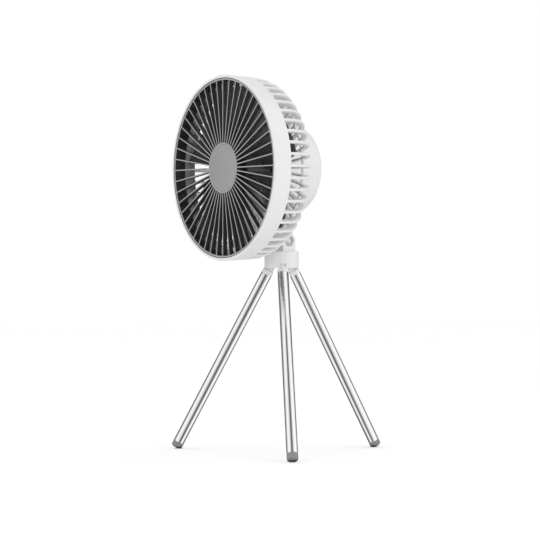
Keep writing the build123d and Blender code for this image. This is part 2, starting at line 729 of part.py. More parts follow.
# Motor bearings: two rings pressed into the ends of the tube.
with BuildPart() as motor_bearings:
    with BuildSketch(profile_plane):
        for bearing_front in (tube_front, fin_back_inside - bearing_width):
            with Locations((bearing_front, shaft_diameter / 2 + running_clearance)):
                Rectangle(bearing_width,
                          (bearing_diameter - shaft_diameter) / 2 - running_clearance,
                          align=Align.MIN)
    revolve(axis=head_axis)
save(motor_bearings, "motor_bearings")

# Motor screws: pan heads on the base, shanks down to the dome's front wall.
with BuildPart() as motor_screws:
    with BuildSketch(head_plane(base_front)):
        with PolarLocations(motor_screw_circle / 2, motor_screw_count, start_angle=90):
            Circle(motor_screw_diameter / 2)
    extrude(amount=motor_base_thickness)
    with BuildSketch(head_plane(base_front)):
        with PolarLocations(motor_screw_circle / 2, motor_screw_count, start_angle=90):
            Circle(motor_screw_head_diameter / 2)
    extrude(amount=-motor_screw_head_height)
save(motor_screws, "motor_screws")

# Stator: laminated core with T-shaped teeth round the bearing tube.
stator_radius = stator_diameter / 2
stator_bore = bearing_seat + bearing_tube_wall + seat_clearance
shoe_middle = stator_radius - tooth_shoe_thickness / 2
with BuildPart() as motor_stator:
    with BuildSketch(head_plane(stator_front)):
        Circle(stator_radius)
        Circle(stator_radius - tooth_shoe_thickness, mode=Mode.SUBTRACT)
        with PolarLocations(shoe_middle, stator_teeth, start_angle=180 / stator_teeth):
            Rectangle(2 * tooth_shoe_thickness, tooth_shoe_gap, mode=Mode.SUBTRACT)
        with PolarLocations((stator_bore + shoe_middle) / 2, stator_teeth):
            Rectangle(shoe_middle - stator_bore, tooth_width)
        Circle(stator_bore + tooth_shoe_thickness)
        Circle(stator_bore, mode=Mode.SUBTRACT)
    extrude(amount=stator_back - stator_front)
save(motor_stator, "motor_stator")

# Rotor: steel bell on the shaft, with the magnet ring inside and the impeller over it.
bell_radius = bell_diameter / 2
with BuildPart() as motor_bell:
    with BuildSketch(profile_plane):
        with Locations((bell_front, 0)):
            Rectangle(bell_back - bell_front, bell_radius, align=Align.MIN)
        with Locations((bell_front + bell_wall, 0)):
            Rectangle(head_depth, bell_radius - bell_wall, align=Align.MIN, mode=Mode.SUBTRACT)
        with Locations((bell_front, 0)):
            Rectangle(tube_front - bell_front - moving_gap, bell_boss_diameter / 2,
                      align=Align.MIN)
        with Locations((bell_front, 0)):
            Rectangle(head_depth, shaft_diameter / 2, align=Align.MIN, mode=Mode.SUBTRACT)
    revolve(axis=head_axis)
save(motor_bell, "motor_bell")

magnet_outer = bell_radius - bell_wall
with BuildPart() as magnet_ring:
    with BuildSketch(profile_plane):
        with Locations((stator_front, magnet_outer)):
            Rectangle(stator_back - stator_front, magnet_thickness, align=(Align.MIN, Align.MAX))
    revolve(axis=head_axis)
save(magnet_ring, "magnet_ring")

with BuildPart() as motor_shaft:
    with BuildSketch(head_plane(shaft_front)):
        Circle(shaft_diameter / 2)
    extrude(amount=fin_back_inside - moving_gap - shaft_front)
save(motor_shaft, "motor_shaft")

with BuildPart() as impeller_nut:
    with BuildSketch(head_plane(hub_cup_front)):
        RegularPolygon(impeller_nut_diameter / 2, 6)
        Circle(shaft_diameter / 2, mode=Mode.SUBTRACT)
    extrude(amount=-impeller_nut_thickness)
save(impeller_nut, "impeller_nut")

# Impeller blade: three cambered sections along a radius, trimmed to the tip circle. It is
# drawn about the Z axis, which stands for the fan's axis, with its radius along X. The
# impeller turns from X towards Y, so a blade's leading edge is its end towards Y, at the back.
cup_radius = hub_cup_diameter / 2
impeller_radius = throat_radius - impeller_tip_gap
hub_cup_back = bell_back - cup_rim_gap
blade_start = cup_radius - hub_cup_wall
blade_end = impeller_radius / cos(radians(blade_tip_wrap / 4))


def blade_section(share):
    """Section across a blade, that share of the way from inside the hub cup to past the tip."""
    radius = blade_start + share * (blade_end - blade_start)
    wrap = blade_root_wrap + share * (blade_tip_wrap - blade_root_wrap)
    front = blade_root_front + share * (blade_tip_front - blade_root_front)
    back = blade_root_back + share * (blade_tip_back - blade_root_back)
    reach = radius * radians(wrap) / 2
    crown = (front + back) / 2 + blade_camber * 2 * reach
    half_edge = blade_thickness / 4
    half_middle = blade_thickness / 2
    lead = blade_root_lead * (1 - share) ** 2
    with BuildSketch(Plane.XY.rotated((0, 0, lead)) * Plane.YZ.offset(radius)) as section:
        with BuildLine():
            ThreePointArc((reach, back + half_edge), (0, crown + half_middle),
                          (-reach, front + half_edge))
            Line((-reach, front + half_edge), (-reach, front - half_edge))
            ThreePointArc((-reach, front - half_edge), (0, crown - half_middle),
                          (reach, back - half_edge))
            Line((reach, back - half_edge), (reach, back + half_edge))
        make_face()
    return section.sketch


with BuildPart() as blade:
    for share in (0, 0.4, 1):
        add(blade_section(share))
    loft()
    Cylinder(impeller_radius, 2 * head_depth, mode=Mode.INTERSECT)

with BuildPart() as impeller:
    with BuildSketch(profile_plane):
        with Locations((hub_cup_front, 0)):
            Rectangle(hub_cup_back - hub_cup_front, cup_radius, align=Align.MIN)
        with Locations((hub_cup_front + hub_cup_wall, 0)):
            Rectangle(head_depth, cup_radius - hub_cup_wall, align=Align.MIN,
                      mode=Mode.SUBTRACT)
        with Locations((hub_cup_front, 0)):
            Rectangle(bell_front - hub_cup_front, impeller_boss_diameter / 2, align=Align.MIN)
        with Locations((hub_cup_front, 0)):
            Rectangle(head_depth, shaft_diameter / 2, align=Align.MIN, mode=Mode.SUBTRACT)
    revolve(axis=head_axis)
    fillet(impeller.edges().group_by(Axis.Y)[0].sort_by(SortBy.LENGTH)[-1], hub_cup_wall)
    with Locations(head_plane()):
        with PolarLocations(0, blade_count, start_angle=blade_start_angle):
            add(blade.part)
save(impeller, "impeller")
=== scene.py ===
"""Portable camping fan: the looks of the battery fan head and of its folding table tripod.

Metres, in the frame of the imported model: +Z is up and the fan blows towards -Y. The file
follows the fan as it is put together, from the tripod's hub to the grille, and ends with the
studio. Depths in the head are counted back from the front edge of its round band.
"""
import json
from math import atan2, cos, pi, radians, sin, sqrt, tan

import bmesh
import bpy
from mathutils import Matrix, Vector


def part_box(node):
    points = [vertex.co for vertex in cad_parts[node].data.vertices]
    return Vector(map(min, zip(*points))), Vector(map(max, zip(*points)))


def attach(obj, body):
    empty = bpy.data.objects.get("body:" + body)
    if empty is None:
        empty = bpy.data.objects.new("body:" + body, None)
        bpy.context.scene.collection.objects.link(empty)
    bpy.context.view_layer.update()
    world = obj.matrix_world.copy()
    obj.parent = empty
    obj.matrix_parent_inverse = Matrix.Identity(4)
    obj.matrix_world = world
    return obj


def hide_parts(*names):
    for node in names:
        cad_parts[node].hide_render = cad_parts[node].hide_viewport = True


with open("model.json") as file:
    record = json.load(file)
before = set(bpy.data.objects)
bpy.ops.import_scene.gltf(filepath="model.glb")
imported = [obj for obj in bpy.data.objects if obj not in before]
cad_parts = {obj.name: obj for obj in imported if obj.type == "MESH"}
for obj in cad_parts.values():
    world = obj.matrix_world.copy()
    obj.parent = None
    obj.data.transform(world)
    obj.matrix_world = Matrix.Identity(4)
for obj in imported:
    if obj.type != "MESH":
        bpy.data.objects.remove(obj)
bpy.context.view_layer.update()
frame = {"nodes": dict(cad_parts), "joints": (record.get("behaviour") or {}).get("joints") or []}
node = frame["nodes"]
mm = 0.001

# ---------------------------------------------------------------- tripod hub
# The hub, its pin retainer and the leg knuckles are moulded in white ABS with a fine satin
# grain. They come out of polished moulds, so only the light shows how flat they are.
white_abs = (0.95, 0.95, 0.95)
cloud_scale = 38               # patches per metre of a moulding's slow unevenness
noise_middle = (0.3, 0.7)      # values that a noise texture has over most of a surface


def connect(tree, target, inputs):
    """Link other nodes' outputs to a node's inputs, or set the inputs' own constants."""
    for key, value in inputs.items():
        if isinstance(value, bpy.types.NodeSocket):
            tree.links.new(value, target.inputs[key])
        else:
            target.inputs[key].default_value = value


def add_node(tree, kind, inputs=None, **settings):
    """New node of that kind with its settings and its inputs."""
    made = tree.nodes.new(kind)
    for name, value in settings.items():
        setattr(made, name, value)
    connect(tree, made, inputs or {})
    return made


def maths(tree, operation, *values):
    """Result of a maths node on those values."""
    return add_node(tree, "ShaderNodeMath", dict(enumerate(values)),
                    operation=operation).outputs[0]


def noise(tree, place, scale, detail=2):
    """Noise at that place, with about so many patches per metre."""
    return add_node(tree, "ShaderNodeTexNoise",
                    {"Vector": place, "Scale": scale, "Detail": detail}).outputs["Fac"]


def remapped(tree, value, given, wanted):
    """Value stretched from the given range to the wanted one, and clamped to it."""
    limits = zip(("From Min", "From Max", "To Min", "To Max"), (*given, *wanted))
    return add_node(tree, "ShaderNodeMapRange",
                    {"Value": value, **dict(limits)}).outputs["Result"]


def input_socket(tree, name, kind, value=None):
    """Named input on a node group, with its default value."""
    socket = tree.interface.new_socket(name, in_out="INPUT", socket_type=kind)
    if value is not None:
        socket.default_value = value


def moulded_grain():
    """Shader group: the fine grain and the slow unevenness that a mould leaves in plastic.

    Grain Size and Grain Height are in millimetres.
    """
    tree = bpy.data.node_groups.new("moulded_grain", "ShaderNodeTree")
    input_socket(tree, "Colour", "NodeSocketColor", (0.8, 0.8, 0.8, 1))
    for name, value in (("Tone Spread", 0.03), ("Roughness", 0.4), ("Roughness Spread", 0.08),
                        ("Grain Size", 0.6), ("Grain Height", 0.02)):
        input_socket(tree, name, "NodeSocketFloat", value)
    for name, kind in (("Colour", "NodeSocketColor"), ("Roughness", "NodeSocketFloat"),
                       ("Normal", "NodeSocketVector")):
        tree.interface.new_socket(name, in_out="OUTPUT", socket_type=kind)
    given = add_node(tree, "NodeGroupInput").outputs
    place = add_node(tree, "ShaderNodeTexCoord").outputs["Object"]
    cloud = noise(tree, place, cloud_scale, detail=3)
    darkest = maths(tree, "SUBTRACT", 1, given["Tone Spread"])
    tone = remapped(tree, cloud, noise_middle, (darkest, 1))
    tinted = add_node(tree, "ShaderNodeVectorMath", {0: given["Colour"], "Scale": tone},
                      operation="SCALE")
    matt = maths(tree, "MULTIPLY_ADD", cloud, given["Roughness Spread"], given["Roughness"])
    fine = noise(tree, place, maths(tree, "DIVIDE", 1 / mm, given["Grain Size"]))
    height = maths(tree, "MULTIPLY", given["Grain Height"], mm)
    bump = add_node(tree, "ShaderNodeBump", {"Height": fine, "Distance": height})
    add_node(tree, "NodeGroupOutput", {"Colour": tinted.outputs[0], "Roughness": matt,
                                       "Normal": bump.outputs["Normal"]})
    return tree


grain = moulded_grain()


def new_material(name):
    """Material, its node tree and its shader."""
    material = bpy.data.materials.new(name)
    material.use_nodes = True
    return material, material.node_tree, material.node_tree.nodes["Principled BSDF"]


def moulded(name, colour, roughness, grain_size=0.6, grain_height=0.02, spread=0.03):
    """Moulded plastic or rubber of that colour and roughness, with its grain in millimetres."""
    material, tree, shader = new_material(name)
    effect = add_node(tree, "ShaderNodeGroup",
                      {"Colour": (*colour, 1), "Roughness": roughness, "Tone Spread": spread,
                       "Grain Size": grain_size, "Grain Height": grain_height},
                      node_tree=grain).outputs
    connect(tree, shader, {"Base Color": effect["Colour"], "Roughness": effect["Roughness"],
                           "Normal": effect["Normal"]})
    return material


def finish_node(name, material):
    """CAD node shown with its own mesh, in that material."""
    mesh = node[name].data
    mesh.materials.clear()
    mesh.materials.append(material)


white = moulded("white_abs", white_abs, roughness=0.38, spread=0.02)
for moulding in ("tripod_hub", "pin_retainer"):
    finish_node(moulding, white)

# ---------------------------------------------------------------- hub screw and leg pins
# Zinc plated steel: a countersunk screw clamps retainer, hub and neck together, and three
# loose pins carry the legs. Plated steel is bright, with a faint cloudy bloom.
zinc_colour = (0.72, 0.72, 0.73)
bloom_scale = 260              # patches of bloom per metre
bloom_edges = (0.35, 0.62)     # noise values where the bloom ends and where bare metal starts
bloom_shade = 0.8              # how dark the bloom is beside the metal's own colour
bloom_dulling = (0.1, -0.05)   # added to the roughness in the bloom, and on bare metal


def colour_ramp(tree, value, stops):
    """Colour at that value of a ramp through (position, colour) stops."""
    ramp = add_node(tree, "ShaderNodeValToRGB", {"Fac": value})
    elements = ramp.color_ramp.elements
    elements.remove(elements[-1])
    for number, (position, colour) in enumerate(stops):
        stop = elements.new(position) if number else elements[0]
        stop.position = position
        stop.color = (*colour, 1)
    return ramp.outputs["Color"]


def plated_steel(name, colour, roughness):
    """Plated, bare or cast metal with a cloudy bloom that is duller than the rest."""
    material, tree, shader = new_material(name)
    place = add_node(tree, "ShaderNodeTexCoord").outputs["Object"]
    bloom = noise(tree, place, bloom_scale, detail=4)
    bloomed = [bloom_shade * channel for channel in colour]
    shade = colour_ramp(tree, bloom, zip(bloom_edges, (bloomed, colour)))
    dull = remapped(tree, bloom, (0, 1), [roughness + change for change in bloom_dulling])
    connect(tree, shader, {"Metallic": 1, "Base Color": shade, "Roughness": dull})
    return material


zinc = plated_steel("zinc_plated_steel", zinc_colour, roughness=0.32)
for fastener in ("hub_screw", "leg_pins"):
    finish_node(fastener, zinc)

# ---------------------------------------------------------------- legs
# Each leg is a drawn tube with a bright polished plating, pressed over the plug of a moulded
# knuckle above and over the plug of a grey rubber foot below.
leg_splay = 30.0
leg_angles = {"leg_right": -30.0, "leg_left": 210.0, "leg_rear": 90.0}
tube_wall = 0.8 * mm
tube_edge_radius = 0.25 * mm
tube_facets = 64
tube_shine = (0.93, 0.93, 0.94)
tube_roughness = (0.10, 0.17)  # where the plating is clean, and where it is rubbed
drawn_lines = (9000, 60, 1)    # lines per metre round the tube, and breaks along it
line_range = (0.35, 0.65)      # noise values of the deepest and of the shallowest lines
line_shade = 0.94
line_height = 0.001 * mm
rub_scale = 70
foot_grey = (0.31, 0.31, 0.31)
# Painted shade: the foot's colour is darker near the ground, below the height given next.
foot_painted_shade = (0.055, 0.055, 0.055)
foot_shade_height = 2.4 * mm    # painted shade on the foot, up from the ground
foot_shade_edge = 1.2 * mm      # how ragged and how soft the painted shade's upper edge is
foot_shade_scale = 420
same_point = 0.0001 * mm       # points closer together than this are one
sharp_angle = 32.0             # edges that bend by more than this stay sharp


def rounded(corners, steps=3):
    """Outline of (x, y, radius) corners, each turned into an arc of its radius."""
    outline = []
    for before, corner, after in zip(corners[-1:] + corners[:-1], corners,
                                     corners[1:] + corners[:1]):
        point, radius = Vector(corner[:2]), corner[2]
        if radius == 0:
            outline.append(tuple(point))
            continue
        back = (Vector(before[:2]) - point).normalized()
        on = (Vector(after[:2]) - point).normalized()
        half = back.angle(on) / 2
        centre = point + (back + on).normalized() * radius / sin(half)
        start = point + back * radius / tan(half) - centre
        end = point + on * radius / tan(half) - centre
        sweep = atan2(start.x * end.y - start.y * end.x, start.dot(end))
        for step in range(steps + 1):
            turn = sweep * step / steps
            outline.append((centre.x + start.x * cos(turn) - start.y * sin(turn),
                            centre.y + start.x * sin(turn) + start.y * cos(turn)))
    return outline


def turned(outline, origin, direction, facets):
    """Closed outline of (radius, distance) points turned about an axis.

    Its UV map runs round the axis in metres, and along the outline.
    """
    axis = Vector(direction).normalized()
    across = axis.orthogonal().normalized()
    beside = axis.cross(across)
    body = bmesh.new()
    rings = []
    for step in range(facets):
        turn = 2 * pi * step / facets
        radial = across * cos(turn) + beside * sin(turn)
        rings.append([body.verts.new(Vector(origin) + axis * distance + radial * radius)
                      for radius, distance in outline])
    around = body.loops.layers.uv.new("around")
    circumference = 2 * pi * max(radius for radius, distance in outline)
    lengths = [0.0]
    for start, end in zip(outline, outline[1:] + outline[:1]):
        lengths.append(lengths[-1] + (Vector(end) - Vector(start)).length)
    for step in range(facets):
        ring, following = rings[step], rings[(step + 1) % facets]
        for point in range(len(outline)):
            after = (point + 1) % len(outline)
            if max(outline[point][0], outline[after][0]) < same_point:
                continue
            face = body.faces.new((ring[point], following[point], following[after], ring[after]))
            corners = ((step, point), (step + 1, point), (step + 1, point + 1), (step, point + 1))
            for loop, (turns, along) in zip(face.loops, corners):
                loop[around].uv = (circumference * turns / facets, lengths[along])
    bmesh.ops.remove_doubles(body, verts=body.verts, dist=same_point)
    bmesh.ops.recalc_face_normals(body, faces=body.faces)
    return body


def piece_from(bodies, name, rides_on, replaced):
    """One piece from (mesh, material) pairs, riding on its CAD body in place of CAD nodes."""
    mesh = bpy.data.meshes.new(name)
    whole = bmesh.new()
    for body, material in bodies:
        if material.name not in mesh.materials:
            mesh.materials.append(material)
        for face in body.faces:
            face.material_index = mesh.materials.find(material.name)
        part = bpy.data.meshes.new("part")
        body.to_mesh(part)
        body.free()
        whole.from_mesh(part)
        bpy.data.meshes.remove(part)
    whole.to_mesh(mesh)
    whole.free()
    mesh.shade_smooth()
    mesh.set_sharp_from_angle(angle=radians(sharp_angle))
    piece = bpy.data.objects.new(name, mesh)
    bpy.context.scene.collection.objects.link(piece)
    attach(piece, rides_on)
    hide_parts(*replaced)


def polished_tube():
    """Bright polished tube: fine drawing lines along it and a few duller rub marks."""
    material, tree, shader = new_material("polished_tube")
    around = add_node(tree, "ShaderNodeUVMap", uv_map="around").outputs["UV"]
    drawn = add_node(tree, "ShaderNodeMapping", {"Vector": around, "Scale": drawn_lines})
    lines = noise(tree, drawn.outputs["Vector"], 1, detail=3)
    shade = remapped(tree, lines, line_range, (line_shade, 1))
    tint = add_node(tree, "ShaderNodeVectorMath", {0: tube_shine, "Scale": shade},
                    operation="SCALE")
    place = add_node(tree, "ShaderNodeTexCoord").outputs["Object"]
    rubbed = noise(tree, place, rub_scale, detail=3)
    bump = add_node(tree, "ShaderNodeBump", {"Height": lines, "Distance": line_height})
    connect(tree, shader, {"Metallic": 1, "Base Color": tint.outputs[0],
                           "Roughness": remapped(tree, rubbed, noise_middle, tube_roughness),
                           "Normal": bump.outputs["Normal"]})
    return material


def painted_over(material, cover, paint):
    """Paint over a material's own colour, as thick as its cover says from 0 to 1."""
    tree = material.node_tree
    base = tree.nodes["Principled BSDF"].inputs["Base Color"]
    over = add_node(tree, "ShaderNodeMix",
                    {"Factor": cover, "A": base.links[0].from_socket, "B": paint},
                    data_type="RGBA")
    tree.links.new(over.outputs["Result"], base)


def rubber_with_painted_shade():
    """Grey rubber with painted shade: darker round the end that it stands on."""
    material = moulded("foot_rubber", foot_grey, roughness=0.62, grain_size=0.35,
                       grain_height=0.03, spread=0.12)
    tree = material.node_tree
    place = add_node(tree, "ShaderNodeTexCoord").outputs["Object"]
    height = add_node(tree, "ShaderNodeSeparateXYZ", {0: place}).outputs["Z"]
    patches = noise(tree, place, foot_shade_scale)
    ragged = maths(tree, "MULTIPLY_ADD", patches, foot_shade_edge, height)
    cover = remapped(tree, ragged, (foot_shade_height, foot_shade_height + foot_shade_edge), (1, 0))
    # painted shade, darker towards the ground
    painted_over(material, cover, (*foot_painted_shade, 1))
    return material


tube_metal = polished_tube()
foot_rubber = rubber_with_painted_shade()
hinge_at = {joint["child"]: Vector(joint["pos_m"]) for joint in frame["joints"]
            if "pos_m" in joint}
for leg, angle in leg_angles.items():
    outward = Vector((cos(radians(angle)), sin(radians(angle)), 0))
    down = outward * sin(radians(leg_splay)) - Vector((0, 0, cos(radians(leg_splay))))
    reaches = [corner.co - hinge_at[leg] for corner in node[f"{leg}_tube"].data.vertices]
    along = [reach.dot(down) for reach in reaches]
    start, end = min(along), max(along)
    outer = max(reach.cross(down).length for reach in reaches)
    inner = outer - tube_wall
    wall = rounded([(*corner, tube_edge_radius)
                    for corner in ((outer, start), (outer, end), (inner, end), (inner, start))])
    tube = turned(wall, hinge_at[leg], down, tube_facets)
    piece_from([(tube, tube_metal)], f"{leg}_polished_tube", leg,
               [f"{leg}_tube"])
    finish_node(f"{leg}_knuckle", white)
    finish_node(f"{leg}_foot", foot_rubber)

# ---------------------------------------------------------------- neck and tilt joint
# The fork is screwed to the hub. A coated bolt runs through both ears, two nylon washers and
# the lug of the head, and its nut sits in a six-sided recess, so it turns from one side.
washer_nylon = (0.78, 0.78, 0.76)
coating_white = (0.80, 0.80, 0.80)
tilt_axis = hinge_at["head"]
nut_low, nut_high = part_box("tilt_nut")
nut_back_crown = 0.24 * mm     # how far the nut's back rises from its edge to its thread
nut_chamfer_width = 0.8 * mm
nut_chamfer_depth = 0.56 * mm
nut_facets = 72
thread_radius = 3.1 * mm
countersink = 0.9 * mm


def hexagon_nut():
    """Nut along +X with chamfered corners and a countersunk thread, then its bare countersink."""
    flat = (nut_high.z - nut_low.z) / 2
    back, front = nut_low.x, nut_high.x
    # Each ring follows the hexagon (1) or not (0), and is grown by a radius.
    rings = ((0, thread_radius, back), (1, 0, back + nut_back_crown),
             (1, 0, front - nut_chamfer_depth), (1, -nut_chamfer_width, front),
             (0, thread_radius + countersink, front), (0, thread_radius, front - countersink))
    mouth = len(rings) - 2
    nut, sink = bmesh.new(), bmesh.new()
    nut_lines, sink_lines = [], []
    for facet in range(nut_facets):
        turn = 2 * pi * facet / nut_facets
        hexagon = flat / cos(turn % (pi / 3) - pi / 6)
        points = []
        for on_hexagon, grown, x in rings:
            radius = hexagon * on_hexagon + grown
            points.append(Vector((x, tilt_axis.y + radius * cos(turn),
                                  tilt_axis.z + radius * sin(turn))))
        nut_lines.append([nut.verts.new(point) for point in points])
        sink_lines.append([sink.verts.new(point) for point in points[mouth:]])
    for facet in range(nut_facets):
        line, following = nut_lines[facet - 1], nut_lines[facet]
        for point in range(len(rings)):
            if point != mouth:
                after = (point + 1) % len(rings)
                nut.faces.new((line[point], following[point], following[after], line[after]))
        line, following = sink_lines[facet - 1], sink_lines[facet]
        sink.faces.new((line[0], following[0], following[1], line[1]))
    for body in (nut, sink):
        bmesh.ops.recalc_face_normals(body, faces=body.faces)
    return nut, sink


coated_steel = moulded("coated_steel", coating_white, roughness=0.34, grain_size=0.3,
                       spread=0.05)
finish_node("neck_fork", white)
finish_node("tilt_washers", moulded("washer_nylon", washer_nylon, roughness=0.5))
finish_node("tilt_bolt", coated_steel)
piece_from(zip(hexagon_nut(), (coated_steel, zinc)), "tilt_nut_chamfered", "tripod",
           ["tilt_nut"])

# ---------------------------------------------------------------- rear housing
# One white moulding: the band, a collar inside it, the fins that run round the corner to the
# dome, the hoop that ties them, the dome itself and the lug that hangs under it.
housing_low, housing_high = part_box("rear_housing")
grille_low, grille_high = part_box("front_grille")
face_y = housing_low.y
head_z = (grille_low.z + grille_high.z) / 2
head_centre = Vector((0, face_y, head_z))
backwards = Vector((0, 1, 0))
band_radius = (housing_high.x - housing_low.x) / 2
band_draft = 2.8               # degrees by which the band narrows towards the back
band_facets = 192
rim_width = 2.2 * mm
rim_edge_radius = 0.8 * mm
rim_lip = 0.5 * mm
rim_lip_depth = 0.35 * mm
rim_lip_radii = (0.1 * mm, 0.2 * mm)
slot_depth = 19.5 * mm         # where the slots between the fins start on the outside
slot_slope = 3.0 * mm          # the slots start this much later on the inside
slot_edge_radius = 0.6 * mm
collar_depth = 12.4 * mm
collar_slope = 3.8 * mm
small_edge_radius = 0.3 * mm   # of collar, hoop and the fins' inner edges
back_depth = 54.2 * mm
corner_radius = 22.0 * mm
corner_steps = 12
fin_count = 48
fin_depth = 6.0 * mm
fin_outer_width = 3.8 * mm
fin_inner_width = 1.2 * mm
fin_edge_radius = 1.6 * mm
fin_root = 2.5 * mm            # how far a fin runs into the band
fin_back_rows = (60 * mm, 52 * mm)    # rows of points on a fin's straight back
hoop_radius = 68.5 * mm
hoop_width = 1.5 * mm
hoop_depth = 2.5 * mm
dome_radius = 44.0 * mm
dome_wall = 2.2 * mm
dome_front_wall = 2.5 * mm
dome_front_radii = (0.4 * mm, 0.5 * mm)
dome_mouth_radius = 0.25 * mm
dome_facets = 144
cover_depth = 86.0 * mm
lug_width = 10.0 * mm
lug_eye_radius = 7.5 * mm
lug_eye_steps = 24
lug_stem = 7.9 * mm            # straight sides above the eye, until clear of the fork
lug_foot_length = 24.0 * mm
lug_edge_radius = 0.5 * mm
lug_rim_bend = 60.0            # only edges that bend by more than this are rounded


def band_radius_at(depth):
    """Outside radius of the band, which narrows towards the back."""
    return band_radius - depth * tan(radians(band_draft))


def about_axis(corners, facets):
    """Body turned about the fan's axis from (radius, depth, edge radius) corners."""
    return turned(rounded(corners), head_centre, backwards, facets)


def ring_about_axis(inner, outer, front, back, front_radius, back_radius, facets):
    """Ring about the fan's axis, with rounded edges at its front and at its back."""
    return about_axis([(inner, front, front_radius), (outer, front, front_radius),
                       (outer, back, back_radius), (inner, back, back_radius)], facets)


def lofted(sections):
    """Skin over closed sections of equally many points, with both ends closed."""
    body = bmesh.new()
    loops = [[body.verts.new(point) for point in section] for section in sections]
    for loop, following in zip(loops, loops[1:]):
        for point in range(len(loop)):
            after = (point + 1) % len(loop)
            body.faces.new((loop[point], loop[after], following[after], following[point]))
    body.faces.new(loops[0])
    body.faces.new(reversed(loops[-1]))
    bmesh.ops.recalc_face_normals(body, faces=body.faces)
    return body


def round_the_axis():
    """Geometry nodes: one piece repeated at equal angles about the fan's axis."""
    tree = bpy.data.node_groups.new("round_the_axis", "GeometryNodeTree")
    input_socket(tree, "Piece", "NodeSocketGeometry")
    input_socket(tree, "Count", "NodeSocketInt", fin_count)
    input_socket(tree, "Axis Point", "NodeSocketVector")
    input_socket(tree, "Material", "NodeSocketMaterial")
    tree.interface.new_socket("Pieces", in_out="OUTPUT", socket_type="NodeSocketGeometry")
    given = add_node(tree, "NodeGroupInput").outputs
    points = add_node(tree, "GeometryNodePoints", {"Count": given["Count"]})
    number = add_node(tree, "GeometryNodeInputIndex").outputs[0]
    turn = maths(tree, "MULTIPLY", number, maths(tree, "DIVIDE", 2 * pi, given["Count"]))
    about = add_node(tree, "ShaderNodeCombineXYZ", {"Y": turn})
    copies = add_node(tree, "GeometryNodeInstanceOnPoints",
                      {"Points": points.outputs[0], "Instance": given["Piece"],
                       "Rotation": about.outputs[0]})
    real = add_node(tree, "GeometryNodeRealizeInstances", {"Geometry": copies.outputs[0]})
    placed = add_node(tree, "GeometryNodeTransform",
                      {"Geometry": real.outputs[0], "Translation": given["Axis Point"]})
    dressed = add_node(tree, "GeometryNodeSetMaterial",
                       {"Geometry": placed.outputs[0], "Material": given["Material"]})
    add_node(tree, "NodeGroupOutput", {0: dressed.outputs[0]})
    return tree


ring_tree = round_the_axis()


def repeated(unit, count, material):
    """Mesh of a unit drawn about the origin, repeated round the fan's axis."""
    mesh = bpy.data.meshes.new("unit")
    unit.to_mesh(mesh)
    unit.free()
    holder = bpy.data.objects.new("unit", mesh)
    bpy.context.scene.collection.objects.link(holder)
    modifier = holder.modifiers.new("round_the_axis", "NODES")
    modifier.node_group = ring_tree
    sockets = {item.name: item.identifier for item in ring_tree.interface.items_tree
               if item.in_out == "INPUT"}
    for name, value in (("Count", count), ("Axis Point", head_centre), ("Material", material)):
        modifier[sockets[name]] = value
    evaluated = holder.evaluated_get(bpy.context.evaluated_depsgraph_get())
    result = bpy.data.meshes.new_from_object(evaluated)
    body = bmesh.new()
    body.from_mesh(result)
    holder.modifiers.remove(modifier)
    for used in (holder.data, result):
        bpy.data.meshes.remove(used)
    return body


def fin():
    """One fin along +X: a wedge with a soft outer edge, swept round the corner to the dome."""
    start = slot_depth - fin_root
    lean = radians(band_draft)
    bend_depth = back_depth - corner_radius
    bend_centre = Vector((band_radius_at(bend_depth) - corner_radius / cos(lean), bend_depth))
    path = [(Vector((band_radius_at(start), start)), Vector((1, 0)))]
    for step in range(corner_steps + 1):
        turn = lean + (pi / 2 - lean) * step / corner_steps
        outwards = Vector((cos(turn), sin(turn)))
        path.append((bend_centre + outwards * corner_radius, outwards))
    for radius in (*fin_back_rows, dome_radius - dome_wall / 2):
        path.append((Vector((radius, back_depth)), Vector((0, 1))))
    wedge = rounded([(-fin_outer_width / 2, 0, fin_edge_radius),
                     (fin_outer_width / 2, 0, fin_edge_radius),
                     (fin_inner_width / 2, fin_depth, small_edge_radius),
                     (-fin_inner_width / 2, fin_depth, small_edge_radius)])
    return lofted([[Vector((*(place - outwards * inwards), sideways))
                    for sideways, inwards in wedge] for place, outwards in path])


def lug():
    """Flat lug: a round eye and a straight stem between the ears, then a flare up to the dome."""
    rise = head_z - sqrt(dome_radius ** 2 - (lug_width / 2) ** 2) + dome_wall / 2 - tilt_axis.z
    edge = [(-lug_foot_length / 2, rise), (lug_foot_length / 2, rise),
            (lug_eye_radius, lug_stem)]
    for step in range(lug_eye_steps + 1):
        turn = -pi * step / lug_eye_steps
        edge.append((lug_eye_radius * cos(turn), lug_eye_radius * sin(turn)))
    edge.append((-lug_eye_radius, lug_stem))
    body = bmesh.new()
    body.faces.new([body.verts.new(tilt_axis + Vector((-lug_width / 2, y, z))) for y, z in edge])
    grown = bmesh.ops.extrude_face_region(body, geom=list(body.faces))
    moved = [item for item in grown["geom"] if isinstance(item, bmesh.types.BMVert)]
    bmesh.ops.translate(body, verts=moved, vec=(lug_width, 0, 0))
    bmesh.ops.recalc_face_normals(body, faces=body.faces)
    rims = [item for item in body.edges if item.calc_face_angle(0) > radians(lug_rim_bend)]
    bmesh.ops.bevel(body, geom=rims, offset=lug_edge_radius, segments=2, profile=0.5,
                    affect="EDGES")
    return body


